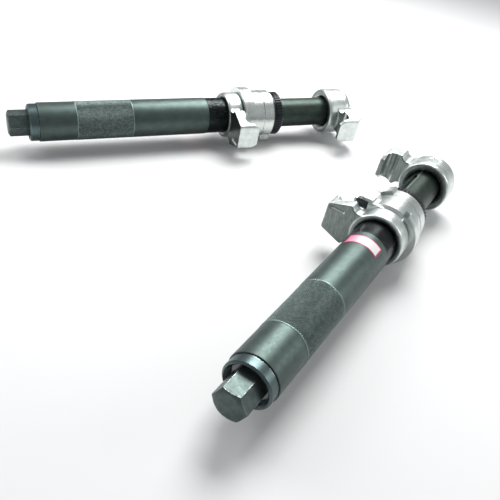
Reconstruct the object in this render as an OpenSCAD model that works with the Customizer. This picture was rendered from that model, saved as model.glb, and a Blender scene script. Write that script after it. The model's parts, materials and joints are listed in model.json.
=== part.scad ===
// Telescopic coil spring compressor, a pair of identical hook units.
// Each unit is drawn along its own Z axis: hexagon drive at z = 0, hooks towards +Z,
// jaws towards +X. The two units are then laid side by side with their jaws facing.

/* [Drive screw] */
// Size of the drive hexagon across its flats
hex_af = 24; // [19:0.5:30]
// Length of hexagon that stands out of the end collar
hex_len = 20.8; // [15:0.1:30]
// Diameter of the screw's plain journal
journal_d = 20; // [14:0.5:24]
// Depth of the screw's thread
thread_depth = 2; // [1:0.1:2.5]
// Axial travel of the nut for one turn of the screw
screw_lead = 4; // [3:0.5:6]

/* [Inner tube] */
// Outside diameter of the telescopic inner tube, which every other diameter follows
inner_d = 34.8; // [28:0.2:44]
// Wall of the inner tube
inner_wall = 4; // [3:0.1:5]
// Gap between the lock nut and the sliding hook as the tool lies
extension = 66; // [62:1:100]
// How far the tool closes from here
close_travel = 60; // [40:1:60]
// How far the tool opens from here
open_travel = 45; // [30:1:50]
// Width of the keyway in the inner tube
key_w = 5; // [4:0.5:6]
// Depth of the keyway in the inner tube
key_depth = 2; // [1:0.1:2.5]

/* [Outer tube] */
// Wall of the outer tube
tube_wall = 2.8; // [2:0.1:4]
// Length of the outer tube
tube_len = 190; // [185:1:260]
// Length of the smooth neck before the knurl
neck_len = 38.7; // [20:0.1:60]
// Length of the knurled grip
knurl_len = 62; // [30:0.5:90]
// How much smaller the smooth neck is than the knurl, in radius
neck_step = 0.3; // [0.1:0.1:1]
// Length of the end collar
collar_len = 9; // [6:0.5:16]
// Where the collar's bore lies, from the hexagon's corners at 0 to the tube's bore at 1
collar_share = 0.6; // [0.3:0.05:0.8]

/* [Hooks] */
// Diameter of the spring wire that a jaw holds
wire_d = 12; // [10:0.5:16]
// Distance from the tool's axis to the middle of the spring wire
wire_reach = 43.5; // [36:0.5:55]
// Thickness of the fixed hook's jaw plate
jaw_t = 12; // [8:0.5:16]
// Thickness of the sliding hook's jaw plate
slide_jaw_t = 20; // [14:0.5:22]
// Width of the fixed hook's jaw plate where it is widest
jaw_root_w = 43; // [36:1:48]
// Width of a jaw plate at its tip
jaw_tip_w = 30; // [24:1:40]
// Wall outside the spring wire
lip_t = 4.6; // [3:0.1:8]
// Height of the lip over the jaw plate
lip_h = 13; // [10:0.5:18]
// Angle of a jaw about the tool's axis
jaw_roll = 4; // [0:1:10]
// Length of the fixed hook's ring along the axis
ring_len = 18; // [14:0.5:24]
// Wall of the fixed hook's ring
ring_wall = 5.9; // [4:0.1:9]
// Length of the sliding hook's hub along the axis
hub_len = 34; // [30:0.5:44]
// Wall of the sliding hook's hub
hub_wall = 10.4; // [8:0.1:14]

/* [Latch ring] */
// Length of the latch ring's flange along the axis
flange_len = 12.4; // [9:0.1:16]
// Length of the latch ring's body behind the flange
latch_len = 28.4; // [20:0.1:36]
// How far the body stands out of the splined sleeve
latch_wall = 7.8; // [6:0.1:10]
// How far the cam flange stands out of the body
cam_step = 4; // [2:0.1:6]
// Diameter of the knurled latch knob
knob_d = 9.8; // [8:0.1:12]
// Length of the knurled latch knob
knob_len = 12; // [8:0.5:14]
// Diameter of the latch knob's stud
stud_d = 5; // [4:0.5:6]
// Length of the lock nut
nut_len = 12.4; // [8:0.1:16]
// Wall of the lock nut over the sleeve
nut_wall = 5.4; // [4:0.1:9]

/* [Arrangement] */
// Distance between the two drive ends, across the tools
pair_across = 389; // [360:1:420]
// How far the left tool lies ahead of the right one
pair_ahead = 159; // [100:1:200]
// Angle between the two tools
pair_angle = 34; // [20:1:36]

/* [Hidden] */
slip = 0.05;        // radial clearance of running and pressed fits
clear = 0.3;        // gap between pieces that do not touch
guide_gap = 0.8;    // gap between the inner and the outer tube
big = 500;          // longer than anything a cut goes through
$fn = 96;

// radii
inner_r = inner_d / 2;
hollow_r = inner_r - inner_wall;
bore_r = inner_r + guide_gap;
tube_r = bore_r + tube_wall;
journal_r = journal_d / 2;
crest_r = journal_r - 0.5;
root_r = crest_r - thread_depth;
hex_r = hex_af / 2 / cos(30);
neck_r = hex_af / 2 - 0.1;
collar_r = tube_r - 1.3;
collar_bore_r = hex_r + collar_share * (bore_r - hex_r);
head_r = collar_bore_r - 0.7;
sleeve_r = tube_r - 0.4;
thread_r = sleeve_r - 0.8;
wiper_r = inner_r + 1.4;
seat_r = sleeve_r + slip;
ring_r = seat_r + ring_wall;
hub_r = inner_r + hub_wall;
latch_r = sleeve_r + latch_wall;
cam_r = latch_r + cam_step;
nut_r = sleeve_r + nut_wall;
knob_r = knob_d / 2;
stud_r = stud_d / 2;

// places along the axis, from the drive end to the hooks
z_collar = hex_len;
groove_w = 0.7;
z_tube = z_collar + collar_len + groove_w;
z_knurl = z_tube + neck_len;
z_smooth = z_knurl + knurl_len;
z_end = z_tube + tube_len;
sleeve_show = 23;                        // splined sleeve that shows before the fixed hook
z_hook = z_end + sleeve_show;
z_latch = z_hook + ring_len + 0.8;
z_body = z_latch + flange_len;
z_nut = z_body + latch_len + clear;
z_sleeve_end = z_nut + nut_len;
z_hub = z_sleeve_end + extension;
z_hub_end = z_hub + hub_len;
z_spigot = z_end - 25.5;                 // end of the splined sleeve inside the tube
z_inner_end = z_hub_end - 5;

// head of the screw and its thrust bearing
z_head = z_collar + 10.2;
head_len = 6;
race_t = 2.5;
ball_n = 14;
ball_d = min(5, head_r - journal_r - 0.8);
pitch_r = (journal_r + head_r) / 2 + 0.1;
z_balls = z_head + head_len + race_t;
z_rear_race = z_balls + ball_d + 2 * slip;
z_plug = z_rear_race + race_t;
plug_len = 10;
bush_wall = 2;
clip_t = 1.75;
z_clip = z_plug + plug_len + 0.4;
washer_t = 2;

// nut on the inner tube, which stops on the sleeve when the tool is fully open
nut_flange = 12;
nut_body = 18;
z_screw_nut = z_spigot - open_travel - nut_flange - clear;
z_inner = z_screw_nut + nut_flange;
z_rod_end = z_spigot + 14;
z_thread = z_clip + clip_t + 3;

// jaws
wire_r = wire_d / 2 + 0.25;
seat_sink = 2.5;                         // how deep the wire lies in the jaw plate
jaw_inset = 1.5;                         // jaw face behind the face of the ring
fillet_r = 7;
corner_r = 3;
recess_depth = 2.2;
jaw_end = wire_reach + wire_r + lip_t;
z_jaw = z_hook + jaw_inset;
z_jaw2 = z_hub_end - jaw_inset;

// latch arm, knob and pad
knob_y = sleeve_r - 1.1;
arm_end = sleeve_r + 0.6;
arm_h = 11.5;
z_knob = z_latch + knob_r;
knob_gap = 0.3;
knob_x = arm_end + knob_gap;
pad_t = 2;
pad_stem_r = 1.8;

// key and hook pin
key_angle = 60;
key_len = 12;
z_key = z_nut - 3.5;
key_foot_r = inner_r - key_depth + clear;
key_top_r = thread_r - 1;
pin_r = 5.4;
pin_tip_r = 3;
pin_shoulder = inner_r + 1.2;
pin_groove = 1.5;
z_pin = z_hub + hub_len / 2;

wiper_t = 3;
label_len = 15;

PIECES = ["drive_screw", "end_collar", "dust_washer", "front_race", "thrust_balls", "rear_race",
          "bearing_plug", "screw_bush", "circlip", "outer_tube", "label", "splined_sleeve",
          "guide_key", "wiper_ring", "lock_nut", "fixed_hook", "latch_ring", "latch_knob",
          "latch_pad", "inner_tube", "screw_nut", "end_plug", "sliding_hook", "hook_pin"];

// ---------------------------------------------------------------- helpers

// a turned ring between two radii and two places on the axis, with chamfered outer edges
module turned(r_out, r_in, z0, z1, c0 = 0, c1 = 0) {
    rotate_extrude()
        polygon([[r_in, z0], [r_out - c0, z0], [r_out, z0 + c0],
                 [r_out, z1 - c1], [r_out - c1, z1], [r_in, z1]]);
}

// points on an arc about (cx, cy)
function arc(cx, cy, r, a0, a1, steps = 8) =
    [for (i = [0:steps]) let (a = a0 + (a1 - a0) * i / steps) [cx + r * cos(a), cy + r * sin(a)]];

// a wedge of the plane that reaches past radius r
module wedge(r, a0, a1) {
    polygon(concat([[0, 0]], arc(0, 0, 1.3 * r, a0, a1, ceil(abs(a1 - a0) / 30))));
}

// a sector of a ring, from angle a0 to a1
module sector(r_out, r_in, z0, z1, a0, a1) {
    intersection() {
        turned(r_out, r_in, z0, z1);
        translate([0, 0, z0 - 1]) linear_extrude(z1 - z0 + 2) wedge(r_out, a0, a1);
    }
}

// a round outline with n notches
module notched(r, n, depth) {
    polygon([for (i = [0:n - 1], k = [0:3])
        let (a = 360 * (i + [0, 0.44, 0.58, 0.86][k]) / n, q = k < 2 ? r : r - depth)
        [q * cos(a), q * sin(a)]]);
}

// the reflection of a list of points in the X axis, in reverse order
function mirrored(pts) = [for (i = [len(pts) - 1:-1:0]) [pts[i][0], -pts[i][1]]];

// ---------------------------------------------------------------- drive end

module drive_screw() {
    relief_r = journal_r - 1;
    turns = floor((z_rod_end - z_thread - 1) / screw_lead);
    color("dimgray") union() {
        intersection() {
            cylinder(r = hex_r, h = z_collar + 6, $fn = 6);
            rotate_extrude()
                polygon([[0, 0], [hex_af / 2 - 1.6, 0], [hex_af / 2 - 0.4, 0.5], [hex_r + 0.01, 1.9],
                         [hex_r + 0.01, z_collar + 6], [0, z_collar + 6]]);
        }
        rotate_extrude() polygon(concat(
            [[0, z_collar + 5], [neck_r, z_collar + 5], [neck_r, z_head], [head_r, z_head],
             [head_r, z_head + head_len], [journal_r, z_head + head_len],
             [journal_r, z_clip - slip], [relief_r, z_clip - slip],
             [relief_r, z_clip + clip_t + slip], [journal_r, z_clip + clip_t + slip],
             [journal_r, z_thread - 1], [root_r, z_thread]],
            [for (i = [0:turns - 1], k = [0:3])
                [k == 1 || k == 2 ? crest_r : root_r,
                 z_thread + screw_lead * (i + [0.1, 0.3, 0.7, 0.9][k])]],
            [[root_r, z_rod_end], [0, z_rod_end]]));
    }
}

module end_collar() {
    bevel = 1.4;
    spigot_r = bore_r - slip;
    color("slategray") rotate_extrude()
        polygon([[collar_bore_r, z_collar + bevel], [collar_bore_r + bevel, z_collar],
                 [collar_r - bevel, z_collar], [collar_r, z_collar + bevel],
                 [collar_r, z_collar + collar_len], [spigot_r, z_collar + collar_len],
                 [spigot_r, z_plug - clear], [collar_bore_r, z_plug - clear]]);
}

module dust_washer() {
    color("white")
        turned(collar_bore_r - clear, neck_r + clear, z_head - washer_t - clear, z_head - clear);
}

module front_race() {
    color("silver") turned(head_r, journal_r + slip, z_head + head_len, z_balls, 0.4, 0.4);
}

module thrust_balls() {
    cage_t = 1;
    z_mid = z_balls + ball_d / 2 + slip;
    color("silver") union() {
        for (i = [0:ball_n - 1])
            rotate([0, 0, 360 * i / ball_n]) translate([pitch_r, 0, z_mid]) sphere(d = ball_d);
        turned(head_r - 0.2, journal_r + 0.4, z_mid - cage_t / 2, z_mid + cage_t / 2);
    }
}

module rear_race() {
    color("silver") turned(head_r, journal_r + clear, z_rear_race, z_plug, 0.4, 0.4);
}

module bearing_plug() {
    color("dimgray")
        turned(bore_r - slip, journal_r + bush_wall + slip, z_plug, z_plug + plug_len, 0.8, 0.8);
}

module screw_bush() {
    color("peru") turned(journal_r + bush_wall, journal_r + slip, z_plug, z_plug + plug_len, 0.4, 0.4);
}

module circlip() {
    color("gray") difference() {
        turned(journal_r + 2.6, journal_r - 1 + slip, z_clip, z_clip + clip_t);
        translate([0, -3, z_clip - 1]) cube([big, 6, clip_t + 2]);
    }
}

module outer_tube() {
    neck_out = tube_r - neck_step;
    line = 0.3;         // fine line turned where the grip ends
    color("darkslategray") rotate_extrude()
        polygon([[bore_r, z_tube], [neck_out - 0.5, z_tube], [neck_out, z_tube + 0.5],
                 [neck_out, z_knurl], [tube_r, z_knurl + neck_step], [tube_r, z_smooth - line],
                 [tube_r - line / 2, z_smooth], [tube_r, z_smooth + line], [tube_r, z_end - 0.6],
                 [tube_r - 0.6, z_end], [bore_r, z_end]]);
}

module label() {
    label_end = z_end - 7.5;
    label_mid = 91;
    label_half = 46;
    color("mistyrose")
        sector(tube_r + 0.2, tube_r, label_end - label_len, label_end,
               label_mid - label_half, label_mid + label_half);
}

// ---------------------------------------------------------------- splined sleeve

module splined_sleeve() {
    spline_n = 72;
    spline_w = 0.9;
    spline_depth = 0.9;
    z_splines = z_end + 1.5;
    color("black") difference() {
        rotate_extrude()
            polygon([[inner_r + slip, z_spigot], [bore_r - slip, z_spigot], [bore_r - slip, z_end],
                     [sleeve_r - 0.4, z_end], [sleeve_r, z_end + 0.4], [sleeve_r, z_nut],
                     [thread_r, z_nut], [thread_r, z_sleeve_end - 0.6],
                     [thread_r - 0.6, z_sleeve_end], [inner_r + slip, z_sleeve_end]]);
        // two toothed sectors, with plain ones between them
        translate([0, 0, z_splines]) linear_extrude(z_hook + ring_len - z_splines)
            for (i = [0:spline_n - 1])
                let (a = 360 * i / spline_n)
                if ((a > 74 && a < 152) || (a > 254 && a < 332))
                    rotate(a) translate([sleeve_r - spline_depth, -spline_w / 2])
                        square([spline_depth + 1, spline_w]);
        key_block(slip);
        turned(wiper_r, 0, z_sleeve_end - wiper_t, z_sleeve_end + 1);
    }
}

module wiper_ring() {
    color("#222222")
        turned(wiper_r - slip, inner_r + slip, z_sleeve_end - wiper_t, z_sleeve_end - 0.4);
}

// the key's block, grown by gap on its sides
module key_block(gap) {
    width = key_w - clear + 2 * gap;
    rotate([0, 0, key_angle])
        translate([key_foot_r, -width / 2, z_key - gap])
            cube([key_top_r - key_foot_r + gap, width, key_len + 2 * gap]);
}

module guide_key() {
    color("silver") key_block(0);
}

module lock_nut() {
    nut_teeth = 44;
    color("#1c1e1f") difference() {
        union() {
            translate([0, 0, z_nut + 4]) linear_extrude(nut_len - 5) notched(nut_r, nut_teeth, 1.1);
            turned(nut_r - 1.3, thread_r - 1, z_nut, z_sleeve_end, 0.6, 0.6);
        }
        translate([0, 0, z_nut - 1]) cylinder(r = thread_r + slip, h = nut_len + 2);
    }
}

// ---------------------------------------------------------------- hooks

// outline of a jaw plate that leaves a ring of radius r through two fillets
module jaw_outline(r, root_w) {
    root_h = root_w / 2;
    tip_h = jaw_tip_w / 2;
    swing = 20;
    reach = r + fillet_r;
    fillet_y = root_h + fillet_r * sin(swing);
    fillet_x = sqrt(reach * reach - fillet_y * fillet_y);
    lean = atan2(fillet_y, fillet_x);
    upper = concat(arc(fillet_x, fillet_y, fillet_r, lean + 180, 360 - swing, 10),
                   [[fillet_x + fillet_r * cos(swing) + 1.6, root_h + 0.6]],
                   arc(jaw_end - corner_r, tip_h - corner_r, corner_r, 72, 0, 6));
    polygon(concat([[0, r * 0.6]], upper, mirrored(upper), [[0, -r * 0.6]]));
}

// jaw plate from z = 0 up, with a seat for the wire and a lip outside it
module jaw(r, t, root_w) {
    z_wire = t - seat_sink + wire_r;
    difference() {
        linear_extrude(t + lip_h) jaw_outline(r, root_w);
        translate([-big / 2, -big / 2, t]) cube([big / 2 + wire_reach, big, big]);
        translate([0, -big / 2, z_wire]) cube([wire_reach + wire_r, big, big]);
        translate([wire_reach, big / 2, z_wire]) rotate([90, 0, 0]) cylinder(r = wire_r, h = big);
        // the lip's ends slope back from its top
        for (s = [-1, 1])
            translate([wire_reach, s * (jaw_tip_w / 2 - 5), t + lip_h]) rotate([-50 * s, 0, 0])
                translate([0, -big / 2, 0]) cube([big, big, big]);
    }
}

module fixed_hook() {
    round_r = 2.6;
    mouth = 1.3;
    slot_r = 1.5;
    slot_y = jaw_tip_w / 2 - 3.4;
    color("silver") difference() {
        union() {
            rotate_extrude()
                polygon(concat([[seat_r - 1, z_hook]],
                               arc(ring_r - round_r, z_hook + round_r, round_r, -90, 0, 6),
                               [[ring_r, z_hook + ring_len - 0.8], [ring_r - 0.8, z_hook + ring_len],
                                [seat_r - 1, z_hook + ring_len]]));
            rotate([0, 0, jaw_roll]) translate([0, 0, z_jaw]) jaw(ring_r, jaw_t, jaw_root_w);
        }
        translate([0, 0, z_hook - 1]) cylinder(r = seat_r, h = ring_len + 20);
        rotate_extrude()
            polygon([[0, z_hook - 1], [seat_r + mouth + 1, z_hook - 1], [seat_r, z_hook + mouth],
                     [0, z_hook + mouth]]);
        // the recess that runs along the jaw plate, on its outer face
        rotate([0, 0, jaw_roll]) translate([0, 0, z_jaw - 1]) linear_extrude(1 + recess_depth)
            polygon(concat(arc(jaw_end - 16.5, slot_y, slot_r, 90, 270, 10),
                           arc(jaw_end - 4.5, slot_y, slot_r, -90, 90, 10)));
    }
}

module sliding_hook() {
    dome_r = 9;
    round_r = 3;
    mouth_r = inner_r + 4.4;
    step_r = inner_r + 1.2;
    z_tight = z_hub + 11;
    color("silver") difference() {
        union() {
            rotate_extrude()
                polygon(concat([[inner_r - 1, z_hub]],
                               arc(hub_r - round_r, z_hub + round_r, round_r, -90, 0, 6),
                               arc(hub_r - dome_r, z_hub_end - dome_r, dome_r, 0, 90, 10),
                               [[inner_r - 1, z_hub_end]]));
            rotate([0, 0, jaw_roll]) translate([0, 0, z_jaw2]) mirror([0, 0, 1])
                jaw(hub_r, slide_jaw_t, jaw_root_w - 7);
        }
        translate([0, 0, z_hub - 1]) cylinder(r = inner_r + slip, h = hub_len + 2);
        rotate_extrude()
            polygon([[0, z_hub - 1], [mouth_r + 0.8, z_hub - 1], [step_r, z_hub + 3], [step_r, z_tight],
                     [0, z_tight]]);
        translate([0, 0, z_pin]) rotate([-90, 0, 0]) cylinder(r = pin_r + slip, h = big);
        // the outer end of the plate slopes back from its rear face
        rotate([0, 0, jaw_roll]) translate([jaw_end - 7, -big / 2, z_jaw2])
            rotate([0, 45, 0]) cube([big, big, big]);
    }
}

module hook_pin() {
    head_top = hub_r - 0.9;
    color("silver") translate([0, 0, z_pin]) rotate([-90, 0, 0]) union() {
        translate([0, 0, inner_r - pin_groove + clear]) cylinder(r = pin_tip_r, h = pin_groove + 2);
        turned(pin_r, 0, pin_shoulder, head_top, 0, 0.6);
    }
}

// ---------------------------------------------------------------- inner tube

module inner_tube() {
    key_z0 = z_key - open_travel - 2;
    key_z1 = z_key + key_len + close_travel + 2;
    color("#3b4a44") difference() {
        turned(inner_r, hollow_r, z_inner, z_inner_end, 0.5, 0.5);
        rotate([0, 0, key_angle])
            translate([inner_r - key_depth, -key_w / 2, key_z0]) cube([big, key_w, key_z1 - key_z0]);
        // round groove that the hook pin runs in
        turned(inner_r + 1, inner_r - pin_groove, z_pin - pin_tip_r - 0.2, z_pin + pin_tip_r + 0.2);
    }
}

module screw_nut() {
    color("goldenrod") rotate_extrude()
        polygon([[crest_r + slip, z_screw_nut], [bore_r - slip - 0.5, z_screw_nut],
                 [bore_r - slip, z_screw_nut + 0.5], [bore_r - slip, z_inner],
                 [hollow_r - slip, z_inner], [hollow_r - slip, z_inner + nut_body],
                 [crest_r + slip, z_inner + nut_body]]);
}

module end_plug() {
    color("#26292a") union() {
        turned(inner_r - 0.4, 0, z_inner_end, z_inner_end + 3.5, 0, 1.2);
        turned(hollow_r - slip, 0, z_inner_end - 9, z_inner_end + 0.5, 1, 0);
    }
}

// ---------------------------------------------------------------- latch

module latch_ring() {
    z_back = z_body + latch_len;
    notch0 = 117;
    notch1 = 125;
    cam1 = 330;
    band = 13.4;
    color("lightgray") difference() {
        union() {
            turned(latch_r, seat_r - 1, z_latch, z_back, 3, 1.4);
            sector(cam_r, seat_r - 1, z_latch, z_body, notch1, cam1);
            // arm that carries the knob
            translate([0, knob_y - arm_h / 2, z_latch]) cube([arm_end, arm_h, flange_len]);
            // thumb plate over the knob
            translate([arm_end - 3.7, knob_y + knob_r + 0.4, z_latch + 0.7]) cube([12, 3.2, 18]);
            thumb_lug(z_back - band + 0.8, z_back - 0.6);
        }
        translate([0, 0, z_latch - 1]) cylinder(r = seat_r, h = flange_len + latch_len + 2);
        // groove between the body and the rear band
        turned(latch_r + 6, latch_r - 0.9, z_back - band - 1, z_back - band);
        // notch beside the cam
        translate([0, 0, z_latch - 1]) linear_extrude(flange_len + 1)
            difference() {
                wedge(cam_r, notch0, notch1);
                circle(r = latch_r - 4.2);
            }
        on_knob_axis(arm_end - 9) cylinder(r = stud_r + slip, h = 10);
        // room for the knob beside the flange
        on_knob_axis(arm_end) cylinder(r = knob_r + clear, h = 20);
    }
}

// ribbed lug on the rear band of the latch ring
module thumb_lug(z0, z1) {
    lug_r = latch_r + 3.8;
    foot_r = latch_r - 2;
    ribs = 6;
    a0 = 51;
    step = 4;
    a1 = a0 + step * ribs;
    translate([0, 0, z0]) linear_extrude(z1 - z0)
        polygon(concat(
            [[foot_r * cos(a0 - 4), foot_r * sin(a0 - 4)]],
            [for (i = [0:ribs - 1], k = [0:1])
                let (a = a0 + step * (i + k / 2), q = k == 0 ? lug_r : lug_r - 1)
                [q * cos(a), q * sin(a)]],
            [[foot_r * cos(a1 + 3), foot_r * sin(a1 + 3)]]));
}

// places a shape drawn along Z on the knob's axis
module on_knob_axis(x) {
    translate([x, knob_y, z_knob]) rotate([0, 90, 0]) children();
}

module latch_knob() {
    knob_teeth = 26;
    color("#1d1f20") on_knob_axis(knob_x) difference() {
        union() {
            translate([0, 0, 0.8]) linear_extrude(knob_len - 1.6) notched(knob_r, knob_teeth, 0.45);
            turned(knob_r - 0.5, 0, 0, knob_len);
            translate([0, 0, -knob_gap - 8]) cylinder(r = stud_r, h = knob_gap + 9);
        }
        translate([0, 0, knob_len - 8]) cylinder(r = pad_stem_r + slip, h = 9);
    }
}

module latch_pad() {
    color("silver") on_knob_axis(knob_x + knob_len) union() {
        turned(knob_r - 1.2, 0, clear, clear + pad_t, 0, 0.5);
        translate([0, 0, -7]) cylinder(r = pad_stem_r, h = 7.5 + clear);
    }
}

// ---------------------------------------------------------------- the pair

module on_right() {
    rotate([-90, 0, 0]) rotate([0, 0, 180]) children();
}

module on_left() {
    translate([-pair_across, pair_ahead, 0]) rotate([0, 0, -pair_angle]) rotate([-90, 0, 0]) children();
}

on_right() drive_screw();  // right_drive_screw
on_right() end_collar();  // right_end_collar
on_right() dust_washer();  // right_dust_washer
on_right() front_race();  // right_front_race
on_right() thrust_balls();  // right_thrust_balls
on_right() rear_race();  // right_rear_race
on_right() bearing_plug();  // right_bearing_plug
on_right() screw_bush();  // right_screw_bush
on_right() circlip();  // right_circlip
on_right() outer_tube();  // right_outer_tube
on_right() label();  // right_label
on_right() splined_sleeve();  // right_splined_sleeve
on_right() guide_key();  // right_guide_key
on_right() wiper_ring();  // right_wiper_ring
on_right() lock_nut();  // right_lock_nut
on_right() fixed_hook();  // right_fixed_hook
on_right() latch_ring();  // right_latch_ring
on_right() latch_knob();  // right_latch_knob
on_right() latch_pad();  // right_latch_pad
on_right() inner_tube();  // right_inner_tube
on_right() screw_nut();  // right_screw_nut
on_right() end_plug();  // right_end_plug
on_right() sliding_hook();  // right_sliding_hook
on_right() hook_pin();  // right_hook_pin
on_left() drive_screw();  // left_drive_screw
on_left() end_collar();  // left_end_collar
on_left() dust_washer();  // left_dust_washer
on_left() front_race();  // left_front_race
on_left() thrust_balls();  // left_thrust_balls
on_left() rear_race();  // left_rear_race
on_left() bearing_plug();  // left_bearing_plug
on_left() screw_bush();  // left_screw_bush
on_left() circlip();  // left_circlip
on_left() outer_tube();  // left_outer_tube
on_left() label();  // left_label
on_left() splined_sleeve();  // left_splined_sleeve
on_left() guide_key();  // left_guide_key
on_left() wiper_ring();  // left_wiper_ring
on_left() lock_nut();  // left_lock_nut
on_left() fixed_hook();  // left_fixed_hook
on_left() latch_ring();  // left_latch_ring
on_left() latch_knob();  // left_latch_knob
on_left() latch_pad();  // left_latch_pad
on_left() inner_tube();  // left_inner_tube
on_left() screw_nut();  // left_screw_nut
on_left() end_plug();  // left_end_plug
on_left() sliding_hook();  // left_sliding_hook
on_left() hook_pin();  // left_hook_pin
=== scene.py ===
# %% [markdown]
# # Telescopic coil spring compressors
#
# A pair of identical tools that squeeze a car's suspension spring. A hexagon turns a hidden
# screw, the screw draws the inner tube into the outer one, and two hooks pull the coils together.
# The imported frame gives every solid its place. This notebook adds the looks: rounded forged
# hooks, a cut knurl, and one procedural finish for each kind of surface.

# %% Load the frame
import json
import math

import bmesh
import bpy
from mathutils import Matrix, Vector


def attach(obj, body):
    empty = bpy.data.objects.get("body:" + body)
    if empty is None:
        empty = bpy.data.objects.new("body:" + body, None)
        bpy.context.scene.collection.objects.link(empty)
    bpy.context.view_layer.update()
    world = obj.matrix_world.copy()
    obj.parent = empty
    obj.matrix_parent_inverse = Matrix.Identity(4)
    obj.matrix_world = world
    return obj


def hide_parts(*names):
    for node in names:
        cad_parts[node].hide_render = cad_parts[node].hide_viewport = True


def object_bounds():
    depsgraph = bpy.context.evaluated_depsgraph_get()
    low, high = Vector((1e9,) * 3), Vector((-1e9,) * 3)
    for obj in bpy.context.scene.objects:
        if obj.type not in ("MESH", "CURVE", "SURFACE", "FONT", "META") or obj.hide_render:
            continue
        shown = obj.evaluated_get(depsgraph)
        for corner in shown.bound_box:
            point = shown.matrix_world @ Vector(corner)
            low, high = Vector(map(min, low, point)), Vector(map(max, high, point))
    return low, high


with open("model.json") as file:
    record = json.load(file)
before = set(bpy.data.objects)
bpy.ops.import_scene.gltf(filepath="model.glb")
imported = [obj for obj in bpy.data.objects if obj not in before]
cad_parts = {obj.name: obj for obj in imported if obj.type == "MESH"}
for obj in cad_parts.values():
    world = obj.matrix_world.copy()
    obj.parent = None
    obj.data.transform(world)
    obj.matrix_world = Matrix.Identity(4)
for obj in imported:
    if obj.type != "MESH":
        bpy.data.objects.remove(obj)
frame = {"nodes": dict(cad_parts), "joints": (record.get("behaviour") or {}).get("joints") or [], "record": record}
cad_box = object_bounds()
joints = {joint["name"]: joint for joint in frame["joints"]}
nodes = frame["nodes"]
SIDES = ("right", "left")
MM = 0.001
BETWEEN_TOOLS_X = -0.08      # everything with a smaller X belongs to the left tool

# %% [markdown]
# Both tools are the same thing in two places. It is easiest to think of one tool on its own:
# z runs along it from the hexagon to the hooks, x points at the jaws, and y is up through the
# latch knob. The joints know where that frame is, so the matrices come from them.

# %% Each tool's own frame
def tool_frame(side):
    """Matrix from one tool's own coordinates, in metres, to the model."""
    turn = joints[f"{side}_screw_turn"]
    along = Vector(turn["axis"]).normalized()
    jaw = Vector(joints[f"{side}_knob_turn"]["axis"]).normalized()
    up = along.cross(jaw)
    rows = Matrix((jaw, up, along)).transposed().to_4x4()
    return Matrix.Translation(Vector(turn["pos_m"])) @ rows


TOOL = {side: tool_frame(side) for side in SIDES}


def span(node, side):
    """Lowest and highest z of a node along its own tool, in metres."""
    inverse = TOOL[side].inverted()
    heights = [(inverse @ v.co).z for v in nodes[node].data.vertices]
    return min(heights), max(heights)


def reach(node, side):
    """Largest distance of a node from its tool's axis, in metres."""
    inverse = TOOL[side].inverted()
    return max(Vector((inverse @ v.co)[:2]).length for v in nodes[node].data.vertices)


print("tube along its tool:", [round(a, 4) for a in span("right_outer_tube", "right")])

# %% [markdown]
# ## Shared surface effects
# Each effect below is a shader node group, made once and placed in every material that needs it
# with its own numbers. `Tool space` comes first: it turns a point of the mesh into lengthwise,
# round and outward measures of the tool that it belongs to, so turning marks can run round a
# part and scratches can run along it, at any angle the tool lies.

# %% A small kit for node groups
def new_group(name, inputs, outputs):
    """An empty shader group with its sockets, ready to be filled."""
    group = bpy.data.node_groups.new(name, "ShaderNodeTree")
    for label, kind, default in inputs:
        socket = group.interface.new_socket(label, in_out="INPUT", socket_type=kind)
        if default is not None:
            socket.default_value = default
    for label, kind in outputs:
        group.interface.new_socket(label, in_out="OUTPUT", socket_type=kind)
    group.nodes.new("NodeGroupInput").name = "in"
    group.nodes.new("NodeGroupOutput").name = "out"
    return group


def node(tree, kind, values=(), **settings):
    """A node with its settings, its input values by name or number, and its links."""
    made = tree.nodes.new(kind)
    for key, value in settings.items():
        setattr(made, key, value)
    for key, value in dict(values).items():
        if isinstance(value, bpy.types.NodeSocket):
            tree.links.new(value, made.inputs[key])
        else:
            made.inputs[key].default_value = value
    return made


def maths(tree, operation, *terms, clamp=False):
    """One Math node, and its result."""
    made = node(tree, "ShaderNodeMath", dict(enumerate(terms)), operation=operation)
    made.use_clamp = clamp
    return made.outputs[0]


def mix_colour(tree, factor, first, second, blend="MIX"):
    """A colour between two others."""
    made = tree.nodes.new("ShaderNodeMix")
    made.data_type = "RGBA"
    made.blend_type = blend
    for key, value in ((0, factor), (6, first), (7, second)):
        if isinstance(value, bpy.types.NodeSocket):
            tree.links.new(value, made.inputs[key])
        else:
            made.inputs[key].default_value = value
    return made.outputs[2]


def ramp(tree, value, low, high):
    """0 at low, 1 at high, smooth between."""
    made = node(tree, "ShaderNodeMapRange", {0: value, 1: low, 2: high},
                interpolation_type="SMOOTHSTEP")
    return made.outputs[0]


FLOAT, VECTOR, COLOUR = "NodeSocketFloat", "NodeSocketVector", "NodeSocketColor"

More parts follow.
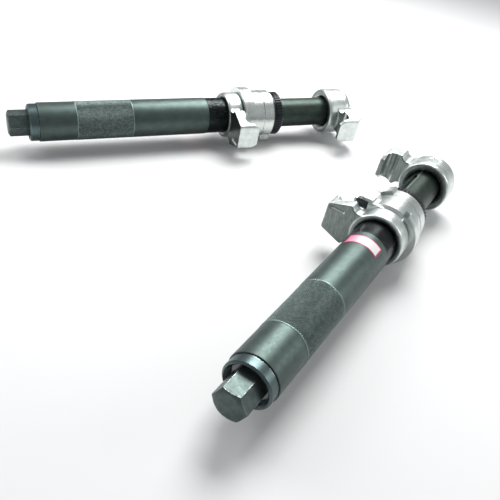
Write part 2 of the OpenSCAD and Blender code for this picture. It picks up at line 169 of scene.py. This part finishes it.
# %% Tool space
def build_tool_space():
    """Point of the mesh in its tool's own frame, in millimetres, with its angle and its radius.

    Facing drive is 1 on a face that looks straight at the drive end of its tool.
    """
    group = new_group("Tool space", [], [("Point", VECTOR), ("Around", FLOAT), ("Out", FLOAT),
                                         ("Facing drive", FLOAT)])
    surface = node(group, "ShaderNodeTexCoord").outputs
    place, normal = surface["Object"], surface["Normal"]
    parts, facing = {}, {}
    for side in SIDES:
        inverse = TOOL[side].inverted()
        rotated = node(group, "ShaderNodeCombineXYZ")
        for row, axis in enumerate("XYZ"):
            dot = node(group, "ShaderNodeVectorMath", {0: place, 1: tuple(inverse[row][:3])},
                       operation="DOT_PRODUCT")
            shifted = maths(group, "ADD", dot.outputs["Value"], inverse[row][3])
            group.links.new(maths(group, "MULTIPLY", shifted, 1000.0), rotated.inputs[axis])
        parts[side] = rotated.outputs[0]
        towards_drive = tuple(-inverse[2].xyz)
        facing[side] = node(group, "ShaderNodeVectorMath", {0: normal, 1: towards_drive},
                            operation="DOT_PRODUCT").outputs["Value"]
    halfway = node(group, "ShaderNodeSeparateXYZ", {0: place})
    is_left = maths(group, "LESS_THAN", halfway.outputs["X"], BETWEEN_TOOLS_X)
    chosen = node(group, "ShaderNodeMix", data_type="VECTOR")
    group.links.new(is_left, chosen.inputs[0])
    group.links.new(parts["right"], chosen.inputs[4])
    group.links.new(parts["left"], chosen.inputs[5])
    point = chosen.outputs[1]
    xyz = node(group, "ShaderNodeSeparateXYZ", {0: point})
    around = maths(group, "ARCTAN2", xyz.outputs["Y"], xyz.outputs["X"])
    out = maths(group, "POWER", maths(group, "ADD",
                                      maths(group, "MULTIPLY", xyz.outputs["X"], xyz.outputs["X"]),
                                      maths(group, "MULTIPLY", xyz.outputs["Y"], xyz.outputs["Y"])),
                0.5)
    looks_back = maths(group, "ADD", facing["right"],
                       maths(group, "MULTIPLY", is_left,
                             maths(group, "SUBTRACT", facing["left"], facing["right"])))
    for label, socket in (("Point", point), ("Around", around), ("Out", out),
                          ("Facing drive", looks_back)):
        group.links.new(socket, group.nodes["out"].inputs[label])
    return group


TOOL_SPACE = build_tool_space()
print("group:", TOOL_SPACE.name)

# %% [markdown]
# `Edge wear` finds where the surface turns a corner. Plating and oxide rub off there first, so
# the bare, brighter steel shows in a thin broken line. A Bevel node compares the true normal with
# one that is rounded over a small radius, and noise breaks the line up.

# %% Edge wear
def build_edge_wear():
    """A mask that is 1 on a worn edge and 0 on a flat."""
    group = new_group("Edge wear",
                      [("Radius", FLOAT, 0.0006), ("Breakup", FLOAT, 0.5), ("Point", VECTOR, None)],
                      [("Mask", FLOAT)])
    inputs = group.nodes["in"].outputs
    rounded = node(group, "ShaderNodeBevel", {"Radius": inputs["Radius"]}, samples=6)
    true = node(group, "ShaderNodeNewGeometry").outputs["Normal"]
    match = node(group, "ShaderNodeVectorMath", {0: rounded.outputs[0], 1: true},
                 operation="DOT_PRODUCT").outputs["Value"]
    turned = ramp(group, maths(group, "SUBTRACT", 1.0, match), 0.02, 0.22)
    noise = node(group, "ShaderNodeTexNoise", {"Vector": inputs["Point"], "Scale": 0.35,
                                               "Detail": 4.0}).outputs["Fac"]
    kept = ramp(group, maths(group, "ADD", noise, maths(group, "MULTIPLY", inputs["Breakup"], -0.2)),
                0.3, 0.5)
    group.links.new(maths(group, "MULTIPLY", turned, kept, clamp=True),
                    group.nodes["out"].inputs["Mask"])
    return group


EDGE_WEAR = build_edge_wear()
print("group:", EDGE_WEAR.name)

# %% [markdown]
# `Mottle` is the uneven, slightly crystalline look of phosphate, oxide and satin plate: broad
# soft clouds with a fine grain on top. Its height feeds a Bump node so the gloss breaks up too.

# %% Mottle
def build_mottle():
    """Soft clouds, a fine grain, and the height that both make."""
    group = new_group("Mottle",
                      [("Point", VECTOR, None), ("Cloud size", FLOAT, 9.0), ("Grain size", FLOAT, 0.5)],
                      [("Cloud", FLOAT), ("Grain", FLOAT), ("Height", FLOAT)])
    inputs = group.nodes["in"].outputs
    cloud = node(group, "ShaderNodeTexNoise",
                 {"Vector": inputs["Point"], "Detail": 5.0, "Roughness": 0.6,
                  "Scale": maths(group, "DIVIDE", 1.0, inputs["Cloud size"])}).outputs["Fac"]
    grain = node(group, "ShaderNodeTexNoise",
                 {"Vector": inputs["Point"], "Detail": 3.0, "Roughness": 0.7,
                  "Scale": maths(group, "DIVIDE", 1.0, inputs["Grain size"])}).outputs["Fac"]
    height = maths(group, "ADD", maths(group, "MULTIPLY", cloud, 0.6),
                   maths(group, "MULTIPLY", grain, 0.4))
    for label, socket in (("Cloud", cloud), ("Grain", grain), ("Height", height)):
        group.links.new(socket, group.nodes["out"].inputs[label])
    return group


MOTTLE = build_mottle()
print("group:", MOTTLE.name)

# %% [markdown]
# `Tool marks` are what a lathe or a grinder leaves. Stretching one noise along the tool gives
# scratches that run lengthwise, and stretching it around gives the rings of a turned face. The
# two scales are inputs, so one group does both.

# %% Tool marks
def build_tool_marks():
    """Streaks along or round a tool, from 0 to 1."""
    group = new_group("Tool marks",
                      [("Along scale", FLOAT, 3.0), ("Around scale", FLOAT, 1.0)],
                      [("Mark", FLOAT)])
    inputs = group.nodes["in"].outputs
    space = node(group, "ShaderNodeGroup", node_tree=TOOL_SPACE)
    xyz = node(group, "ShaderNodeSeparateXYZ", {0: space.outputs["Point"]})
    # a point on a circle, so that the pattern has no seam where the angle starts again
    spot = node(group, "ShaderNodeCombineXYZ", {
        "X": maths(group, "MULTIPLY", maths(group, "COSINE", space.outputs["Around"]),
                   inputs["Around scale"]),
        "Y": maths(group, "MULTIPLY", maths(group, "SINE", space.outputs["Around"]),
                   inputs["Around scale"]),
        "Z": maths(group, "MULTIPLY", maths(group, "ADD", xyz.outputs["Z"], space.outputs["Out"]),
                   inputs["Along scale"])})
    mark = node(group, "ShaderNodeTexNoise", {"Vector": spot.outputs[0], "Scale": 1.0, "Detail": 3.0,
                                              "Roughness": 0.65}).outputs["Fac"]
    group.links.new(mark, group.nodes["out"].inputs["Mark"])
    return group


TOOL_MARKS = build_tool_marks()
print("group:", TOOL_MARKS.name)

# %% [markdown]
# ## Finishes
# One recipe covers all the metals: a base colour that the clouds lighten and darken, bare steel
# on the edges, a roughness that follows the grain, and a bump from grain and tool marks. What
# differs from steel to zinc plate is only the numbers. Constants sit on the shader itself.

# %% The metal recipe
def graduation(tree, space, angle, half_width, pitch, line):
    """A rank of fine cross lines at one angle of a tube, as a mask."""
    turned = maths(tree, "ABSOLUTE", maths(tree, "SUBTRACT", space.outputs["Around"], angle))
    z = node(tree, "ShaderNodeSeparateXYZ", {0: space.outputs["Point"]}).outputs["Z"]
    rising = maths(tree, "PINGPONG", z, pitch / 2)
    return maths(tree, "MULTIPLY", ramp(tree, rising, line, line * 0.6),
                 ramp(tree, turned, half_width, half_width * 0.85))


def metal(name, colour, bare, roughness, metallic=1.0, cloud=0.25, cloud_size=9.0, grain_size=0.45,
          wear=0.6, wear_radius=0.0005, marks=(3.0, 1.0), mark_depth=0.3, bump=0.05,
          rough_spread=0.15, grooves=None, etched=None, dark_faces=0.0):
    """A metal finish. colour is its coating, bare what shows on worn edges.

    grooves is (floor radius, crest radius, floor shade, crest shade, first z, last z), in
    millimetres of the tool: painted shade on the floors of cut grooves, and a painted highlight on
    their crests where the crest shade is above 1. etched is (angle, half width, pitch, line), the
    angles in radians and the rest in millimetres, of a rank of cross lines. dark_faces is how much
    painted shade, a dark streaky colour, the faces towards the drive end get.
    """
    material = bpy.data.materials.new(name)
    material.use_nodes = True
    material.diffuse_color = (*colour, 1.0)
    tree = material.node_tree
    shader = tree.nodes["Principled BSDF"]
    space = node(tree, "ShaderNodeGroup", node_tree=TOOL_SPACE)
    point = space.outputs["Point"]
    mottle = node(tree, "ShaderNodeGroup", {"Point": point, "Cloud size": cloud_size,
                                            "Grain size": grain_size}, node_tree=MOTTLE)
    edge = node(tree, "ShaderNodeGroup", {"Point": point, "Radius": wear_radius}, node_tree=EDGE_WEAR)
    mark = node(tree, "ShaderNodeGroup", {"Along scale": marks[0], "Around scale": marks[1]},
                node_tree=TOOL_MARKS)
    light = tuple(min(1.0, c * (1 + cloud)) for c in colour)
    dark = tuple(c * (1 - cloud) for c in colour)
    body = mix_colour(tree, ramp(tree, mottle.outputs["Cloud"], 0.3, 0.7), (*dark, 1), (*light, 1))
    streak = mix_colour(tree, maths(tree, "MULTIPLY", mark.outputs["Mark"], mark_depth), body,
                        (*light, 1))
    if grooves:
        # painted light: the groove floors are darkened as painted shade, and the crests are lightened as a painted
        # highlight
        floor_r, crest_r, floor_shade, crest_shade, first_z, last_z = grooves
        rise = ramp(tree, space.outputs["Out"], floor_r, crest_r)
        shade = mix_colour(tree, rise, (floor_shade,) * 3 + (1,), (crest_shade,) * 3 + (1,))
        z = node(tree, "ShaderNodeSeparateXYZ", {0: point}).outputs["Z"]
        inside = maths(tree, "MULTIPLY", ramp(tree, z, first_z - 0.4, first_z + 0.4),
                       ramp(tree, z, last_z + 0.4, last_z - 0.4))
        streak = mix_colour(tree, inside, streak, shade, blend="MULTIPLY")
    if dark_faces:
        # painted shade: faces that look towards the drive end get a dark, streaky colour
        drawn = node(tree, "ShaderNodeTexNoise", {
            "Vector": node(tree, "ShaderNodeVectorMath", {0: point, 1: (1.3, 0.12, 0.3)},
                           operation="MULTIPLY").outputs[0], "Scale": 1.0, "Detail": 3.0})
        film = maths(tree, "MULTIPLY", ramp(tree, space.outputs["Facing drive"], 0.75, 0.97),
                     maths(tree, "MULTIPLY_ADD", drawn.outputs["Fac"], 0.5, dark_faces))
        streak = mix_colour(tree, film, streak, (*PAINTED_FACE_SHADE, 1))
    if etched:
        streak = mix_colour(tree, graduation(tree, space, *etched), streak, (*bare, 1))
    worn = maths(tree, "MULTIPLY", edge.outputs["Mask"], wear, clamp=True)
    tree.links.new(mix_colour(tree, worn, streak, (*bare, 1)), shader.inputs["Base Color"])
    spread = maths(tree, "MULTIPLY",
                   maths(tree, "SUBTRACT", maths(tree, "ADD", mottle.outputs["Grain"],
                                                 mark.outputs["Mark"]), 1.0), rough_spread * 2)
    rough = maths(tree, "SUBTRACT", maths(tree, "ADD", spread, roughness),
                  maths(tree, "MULTIPLY", worn, 0.12), clamp=True)
    tree.links.new(rough, shader.inputs["Roughness"])
    height = maths(tree, "ADD", mottle.outputs["Height"],
                   maths(tree, "MULTIPLY", mark.outputs["Mark"], mark_depth))
    bumped = node(tree, "ShaderNodeBump", {"Strength": 1.0, "Distance": bump * MM,
                                           "Height": height})
    tree.links.new(bumped.outputs["Normal"], shader.inputs["Normal"])
    shader.inputs["Metallic"].default_value = metallic
    return material


STEEL = (0.62, 0.63, 0.62)
# the colour of the painted shade on the hooks' faces towards the drive end
PAINTED_FACE_SHADE = (0.045, 0.066, 0.061)
print("bare steel:", STEEL, "film:", PAINTED_FACE_SHADE)

# %% [markdown]
# The tubes are phosphated: a dark green-grey that hides the steel. The screw is darker and has
# no coating on its corners. Hooks and latch are zinc plated and look almost white in soft light.
# The hooks' faces towards the drive end are the exception: they get painted shade, a dark,
# streaky colour. It could be painted by hand, but a mask from the direction of the surface finds
# them all at once.

# %% The metals
FINISH = {}
# where the grip and the splined sleeve lie along a tool
NECK_LENGTH, GRIP_LENGTH = 38.7 * MM, 62 * MM
TUBE_WALL, NECK_STEP = 2.8 * MM, 0.3 * MM
tube_start = span("right_outer_tube", "right")[0]
KNURL = (tube_start + NECK_LENGTH, tube_start + NECK_LENGTH + GRIP_LENGTH)
SLEEVE = [z / MM for z in span("right_splined_sleeve", "right")]
print("knurl from", round(KNURL[0], 4), "to", round(KNURL[1], 4))
# the knurl gets painted shade on its groove floors and a painted highlight on its crests
FINISH["gunmetal_tube"] = metal("phosphated tube", (0.074, 0.102, 0.094), (0.5, 0.56, 0.54), 0.46,
                                metallic=0.88, cloud=0.13, cloud_size=10, grain_size=0.6, wear=0.55,
                                marks=(0.4, 9.0), mark_depth=0.35, bump=0.03,
                                grooves=(20.6, 20.98, 0.4, 2.6, KNURL[0] / MM, KNURL[1] / MM))
FINISH["gunmetal_inner"] = metal("phosphated inner tube", (0.036, 0.05, 0.043), (0.42, 0.47, 0.44),
                                 0.42, metallic=0.9, cloud=0.2, cloud_size=7, wear=0.7,
                                 marks=(0.15, 14.0), mark_depth=0.5, bump=0.03,
                                 etched=(math.radians(68), math.radians(5), 2.0, 0.55))
FINISH["gunmetal_screw"] = metal("oiled screw steel", (0.085, 0.112, 0.106), STEEL, 0.45,
                                 metallic=0.9, cloud=0.25, cloud_size=6, wear=1.0, wear_radius=0.0012,
                                 marks=(0.5, 3.0), mark_depth=0.3, bump=0.05)
FINISH["blued_collar"] = metal("turned collar", (0.085, 0.118, 0.12), STEEL, 0.36, cloud=0.15,
                               wear=0.9, wear_radius=0.0007, marks=(4.0, 0.6), mark_depth=0.5,
                               bump=0.015)
# the hooks get painted shade on their faces towards the drive end
FINISH["zinc_hook"] = metal("plated forging", (0.6, 0.645, 0.625), (0.85, 0.87, 0.85), 0.35, cloud=0.12,
                            cloud_size=6, grain_size=0.9, wear=0.5, wear_radius=0.001,
                            marks=(0.3, 2.0), mark_depth=0.2, bump=0.12, dark_faces=0.5)
FINISH["zinc_latch"] = metal("plated turning", (0.62, 0.66, 0.64), (0.88, 0.89, 0.87), 0.28, cloud=0.08,
                             wear=0.5, marks=(5.0, 0.8), mark_depth=0.4, bump=0.025)
FINISH["black_oxide"] = metal("black oxide", (0.022, 0.025, 0.027), (0.3, 0.32, 0.32), 0.34,
                              metallic=0.7, cloud=0.3, wear=0.45, wear_radius=0.0003,
                              marks=(4.0, 1.0), mark_depth=0.3, bump=0.03)
# the splines get painted shade on their groove floors
FINISH["black_splines"] = metal("black splines", (0.014, 0.018, 0.018), (0.4, 0.43, 0.42), 0.3,
                                metallic=0.85, cloud=0.3, wear=0.6, wear_radius=0.0003,
                                marks=(0.5, 9.0), mark_depth=0.3, bump=0.03,
                                grooves=(19.9, 20.5, 0.1, 1.0, *SLEEVE))
FINISH["black_knob"] = metal("black knob", (0.07, 0.08, 0.088), (0.5, 0.52, 0.53), 0.34,
                             metallic=0.9, cloud=0.3, wear=0.5, wear_radius=0.0002, bump=0.03)
FINISH["bearing_steel"] = metal("ground steel", (0.6, 0.61, 0.6), (0.8, 0.8, 0.8), 0.2, cloud=0.05,
                                wear=0.3, marks=(6.0, 0.5), mark_depth=0.4, bump=0.01)
FINISH["bronze"] = metal("turned bronze", (0.5, 0.31, 0.13), (0.75, 0.55, 0.3), 0.3, cloud=0.15,
                         wear=0.5, marks=(5.0, 0.6), mark_depth=0.5, bump=0.02)
print("metals:", ", ".join(sorted(FINISH)))

# %% [markdown]
# The washer is natural nylon and the wiper is rubber. Neither is metal, so they get a short
# recipe of their own: a little colour change, a fine grain, and no edge wear.

# %% Nylon and rubber
def moulded(name, colour, roughness, sheen=0.0, subsurface=0.0):
    """A finish for nylon or rubber."""
    material = bpy.data.materials.new(name)
    material.use_nodes = True
    material.diffuse_color = (*colour, 1.0)
    tree = material.node_tree
    shader = tree.nodes["Principled BSDF"]
    space = node(tree, "ShaderNodeGroup", node_tree=TOOL_SPACE)
    mottle = node(tree, "ShaderNodeGroup", {"Point": space.outputs["Point"], "Cloud size": 5.0,
                                            "Grain size": 0.4}, node_tree=MOTTLE)
    dark = tuple(c * 0.86 for c in colour)
    tree.links.new(mix_colour(tree, mottle.outputs["Cloud"], (*dark, 1), (*colour, 1)),
                   shader.inputs["Base Color"])
    tree.links.new(maths(tree, "ADD", maths(tree, "MULTIPLY", mottle.outputs["Grain"], 0.15),
                         roughness), shader.inputs["Roughness"])
    bumped = node(tree, "ShaderNodeBump", {"Strength": 1.0, "Distance": 0.03 * MM,
                                           "Height": mottle.outputs["Height"]})
    tree.links.new(bumped.outputs["Normal"], shader.inputs["Normal"])
    shader.inputs["Subsurface Weight"].default_value = subsurface
    shader.inputs["Subsurface Scale"].default_value = 0.001
    shader.inputs["Sheen Weight"].default_value = sheen
    return material


FINISH["white_washer"] = moulded("nylon washer", (0.93, 0.95, 0.92), 0.4, subsurface=0.1)
FINISH["black_rubber"] = moulded("wiper rubber", (0.025, 0.025, 0.026), 0.6, sheen=0.1)
print("moulded:", FINISH["white_washer"].name, FINISH["black_rubber"].name)

# %% [markdown]
# The label is a plain white film with a crimson border and no lettering. The border is drawn by
# distance from the film's own edges, which the tool's lengthwise and round measures give.

# %% Label film
def label_film():
    """White film with a border and a tint, and nothing printed on it."""
    start, end = (z / MM for z in span("right_label", "right"))
    material = bpy.data.materials.new("label film")
    material.use_nodes = True
    material.diffuse_color = (0.9, 0.85, 0.87, 1.0)
    tree = material.node_tree
    shader = tree.nodes["Principled BSDF"]
    space = node(tree, "ShaderNodeGroup", node_tree=TOOL_SPACE)
    xyz = node(tree, "ShaderNodeSeparateXYZ", {0: space.outputs["Point"]})
    # the film is centred just past the top of the tube and covers a quarter of its girth
    middle_angle, half_angle = math.radians(91), math.radians(46)
    radius = reach("right_outer_tube", "right") / MM
    from_ends = maths(tree, "SUBTRACT", (end - start) / 2,
                      maths(tree, "ABSOLUTE", maths(tree, "SUBTRACT", xyz.outputs["Z"],
                                                    (start + end) / 2)))
    turned = maths(tree, "ABSOLUTE", maths(tree, "SUBTRACT", space.outputs["Around"], middle_angle))
    from_sides = maths(tree, "MULTIPLY", maths(tree, "SUBTRACT", half_angle, turned), radius)
    nearest = maths(tree, "MINIMUM", from_ends, from_sides)
    border = ramp(tree, nearest, 1.5, 1.3)
    # a printed tint that fades in towards one end of the film
    tint = ramp(tree, space.outputs["Around"], middle_angle + 0.1, middle_angle - 0.75)
    mottle = node(tree, "ShaderNodeGroup", {"Point": space.outputs["Point"], "Cloud size": 3.0,
                                            "Grain size": 0.5}, node_tree=MOTTLE)
    paper = mix_colour(tree, tint, (0.72, 0.69, 0.7, 1), (0.62, 0.2, 0.32, 1))
    inked = mix_colour(tree, border, paper, (0.4, 0.018, 0.09, 1))
    soiled = mix_colour(tree, maths(tree, "MULTIPLY", ramp(tree, mottle.outputs["Cloud"], 0.5, 0.75),
                                    0.25), inked, (0.5, 0.47, 0.46, 1))
    tree.links.new(soiled, shader.inputs["Base Color"])
    tree.links.new(maths(tree, "ADD", maths(tree, "MULTIPLY", mottle.outputs["Grain"], 0.2), 0.25),
                   shader.inputs["Roughness"])
    bumped = node(tree, "ShaderNodeBump", {"Strength": 1.0, "Distance": 0.01 * MM,
                                           "Height": mottle.outputs["Height"]})
    tree.links.new(bumped.outputs["Normal"], shader.inputs["Normal"])
    return material


FINISH["label_film"] = label_film()
print("label:", FINISH["label_film"].name)

# %% [markdown]
# ## Dressing the frame
# Every solid of the frame takes the finish that its record names. The machined ones also get a
# narrow bevel, because no real edge is perfectly sharp, and that line of light is what makes
# a part look solid.

# %% Finishes on the frame
slot_of = {row["node"]: row["material_slot"] for row in frame["record"]["subparts"]}
BEVEL = {"drive_screw": 0.5, "end_collar": 0.25, "latch_ring": 0.45, "lock_nut": 0.18,
         "latch_knob": 0.12, "latch_pad": 0.2, "inner_tube": 0.15, "end_plug": 0.3,
         "hook_pin": 0.25, "splined_sleeve": 0.08}


def soften_edges(thing, width):
    """A narrow round on every sharp edge."""
    bevel = thing.modifiers.new("edge round", "BEVEL")
    bevel.width = width * MM
    bevel.segments = 2
    bevel.limit_method = "ANGLE"
    bevel.angle_limit = math.radians(35)
    bevel.harden_normals = False
    bevel.miter_outer = "MITER_ARC"


for name, thing in nodes.items():
    thing.data.materials.clear()
    piece = name.split("_", 1)[1]
    finish = "black_splines" if piece == "splined_sleeve" else slot_of[name]
    thing.data.materials.append(FINISH[finish])
    if piece in BEVEL:
        soften_edges(thing, BEVEL[piece])
print("dressed:", len(nodes))

# %% [markdown]
# ## The knurled tube
# The grip is a diamond knurl: two sets of grooves rolled into the tube, crossing at an angle, that
# leave rows of small pyramids. On a grid of points, that is every other point raised, like
# the dark squares of a chessboard, with each cell split along its low corners. This makes
# true pyramids with very few faces, so the grip is real geometry and not only a bump.

# %% Knurled tube
def knurled_tube(side):
    """The outer tube with its knurl cut, in place of the plain one."""
    plain = f"{side}_outer_tube"
    start, end = span(plain, side)
    outside = reach(plain, side)
    bore = outside - TUBE_WALL
    neck = outside - NECK_STEP
    knurl_start, knurl_end = KNURL
    columns, rows = 132, 58
    depth = 0.42 * MM
    margin = 1.2 * MM                   # plain rim at each end of the knurl
    rim = outside - 0.05 * MM
    chamfer = 0.5 * MM
    break_edge = 0.3 * MM
    step = (knurl_end - knurl_start - 2 * margin) / rows
    profile = [(bore + break_edge, start), (neck - chamfer, start), (neck, start + chamfer),
               (neck, knurl_start - 0.4 * MM), (rim, knurl_start), (rim, knurl_start + margin / 2)]
    rings = [(radius, z, False) for radius, z in profile]
    rings += [(outside, knurl_start + margin + row * step, True) for row in range(rows + 1)]
    rings += [(radius, z, False) for radius, z in
              [(rim, knurl_end - margin / 2), (rim, knurl_end),
               (outside - 0.02 * MM, knurl_end + break_edge), (outside, knurl_end + 12 * MM),
               (outside, end - margin / 2), (outside - margin / 2, end), (bore + break_edge, end),
               (bore, end - break_edge), (bore, start + break_edge)]]
    mesh = bmesh.new()
    grid = []
    for count, (radius, z, cut) in enumerate(rings):
        ring = []
        for column in range(columns):
            angle = 2 * math.pi * column / columns
            low = depth if cut and (count + column) % 2 else 0.0
            ring.append(mesh.verts.new(((radius - low) * math.cos(angle),
                                        (radius - low) * math.sin(angle), z)))
        grid.append(ring)
    for count in range(len(rings)):
        above = (count + 1) % len(rings)
        knurled = rings[count][2] or rings[above][2]
        for column in range(columns):
            beside = (column + 1) % columns
            a, b = grid[count][column], grid[count][beside]
            c, d = grid[above][beside], grid[above][column]
            if knurled and above:
                low_first = (count + column) % 2
                faces = [(a, b, c), (a, c, d)] if low_first else [(a, b, d), (b, c, d)]
            else:
                faces = [(a, b, c, d)]
            for corners in faces:
                mesh.faces.new(corners).smooth = not knurled
    data = bpy.data.meshes.new(f"{side}_knurled_tube")
    mesh.to_mesh(data)
    mesh.free()
    data.transform(TOOL[side])
    data.materials.append(FINISH["gunmetal_tube"])
    data.set_sharp_from_angle(angle=math.radians(28))
    tube = bpy.data.objects.new(data.name, data)
    bpy.context.scene.collection.objects.link(tube)
    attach(tube, f"{side}_tube")
    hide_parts(plain)
    print(data.name, "faces:", len(data.polygons))
    return tube


for side in SIDES:
    knurled_tube(side)

# %% [markdown]
# ## Forged hooks
# A hook is a drop forging: every edge is round and the arm flows out of the ring. Modelling
# that by hand means many small fillets. Here the frame's hook is copied, rebuilt as even
# small cells, and relaxed, which rounds edges outside and fills corners inside, as a die does.

# %% Forged hooks
def relaxed_copy(name, cell, passes):
    """A copy of a frame node, remeshed into even cells and smoothed."""
    data = nodes[name].data.copy()
    data.name = f"{name}_forged"
    piece = bpy.data.objects.new(data.name, data)
    bpy.context.scene.collection.objects.link(piece)
    remesh = piece.modifiers.new("cells", "REMESH")
    remesh.mode = "VOXEL"
    remesh.voxel_size = cell * MM
    relax = piece.modifiers.new("relax", "SMOOTH")
    relax.factor = 0.5
    relax.iterations = passes
    solid = bpy.data.meshes.new_from_object(
        piece.evaluated_get(bpy.context.evaluated_depsgraph_get()))
    piece.modifiers.clear()
    piece.data = solid
    solid.name = data.name
    bpy.data.meshes.remove(data)
    for face in solid.polygons:
        face.use_smooth = True
    return piece


def forged_hook(side, which):
    """One hook, fixed or sliding, as a forging in place of the frame's own."""
    name = f"{side}_{which}_hook"
    hook = relaxed_copy(name, cell=0.6, passes=12)
    hook.data.materials.clear()
    hook.data.materials.append(FINISH["zinc_hook"])
    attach(hook, f"{side}_{which}_hook")
    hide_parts(name)
    print(hook.name, "faces:", len(hook.data.polygons))


for side in SIDES:
    for which in ("fixed", "sliding"):
        forged_hook(side, which)

# %% [markdown]
# ## Floor, light and camera
# A plain pale floor just under the tools, a bright even sky, and three soft boxes: a large one
# overhead that whitens every upward face, one low from the left, and a weak one behind.

# %% Floor
floor_level = cad_box[0][2]
floor_data = bpy.data.meshes.new("floor")
half = 6.0
floor_data.from_pydata([(-half, -half, floor_level), (half, -half, floor_level),
                        (half, half, floor_level), (-half, half, floor_level)],
                       [], [(0, 1, 2, 3)])
floor = bpy.data.objects.new("floor", floor_data)
bpy.context.scene.collection.objects.link(floor)
paint = bpy.data.materials.new("pale floor")
paint.use_nodes = True
paint.node_tree.nodes["Principled BSDF"].inputs["Base Color"].default_value = (0.7, 0.7, 0.7, 1)
paint.node_tree.nodes["Principled BSDF"].inputs["Roughness"].default_value = 0.7
floor_data.materials.append(paint)
print("floor at", round(floor_level, 4))

# %% Sky and soft boxes
world = bpy.data.worlds.new("studio")
bpy.context.scene.world = world
world.use_nodes = True
world.node_tree.nodes["Background"].inputs["Color"].default_value = (0.95, 0.98, 1.0, 1)
world.node_tree.nodes["Background"].inputs["Strength"].default_value = 0.4


def soft_box(name, place, target, size, watts):
    """A square area light that faces a point."""
    lamp = bpy.data.lights.new(name, "AREA")
    lamp.energy = watts
    lamp.size = size
    thing = bpy.data.objects.new(name, lamp)
    thing.location = place
    thing.rotation_euler = (Vector(target) - Vector(place)).to_track_quat("-Z", "Y").to_euler()
    bpy.context.scene.collection.objects.link(thing)
    return thing


middle = (-0.15, 0.25, 0.0)      # a point between the two tools, which all lights face
soft_box("overhead", (-0.28, 0.95, 1.0), middle, 0.75, 22)
soft_box("left", (-1.0, 0.1, 0.6), middle, 0.6, 5)
soft_box("right back", (0.9, 0.9, 0.5), middle, 0.5, 3)

# %% Camera
camera_data = bpy.data.cameras.new("camera")
camera_data.lens = 43.2
camera_data.sensor_width = 36.0
camera = bpy.data.objects.new("camera", camera_data)
right_way = Vector((0.8363, 0.5276, 0.1491))
up_way = Vector((-0.4167, 0.435, 0.7982))
forward = Vector((-0.3563, 0.7297, -0.5836))
camera.matrix_world = Matrix.Translation((0.10454, -0.22413, 0.29967)) @ \
    Matrix((right_way, up_way, -forward)).transposed().to_4x4()
bpy.context.scene.collection.objects.link(camera)
bpy.context.scene.camera = camera
bpy.context.scene.view_settings.view_transform = "Standard"
print("camera at", [round(v, 3) for v in camera.location])
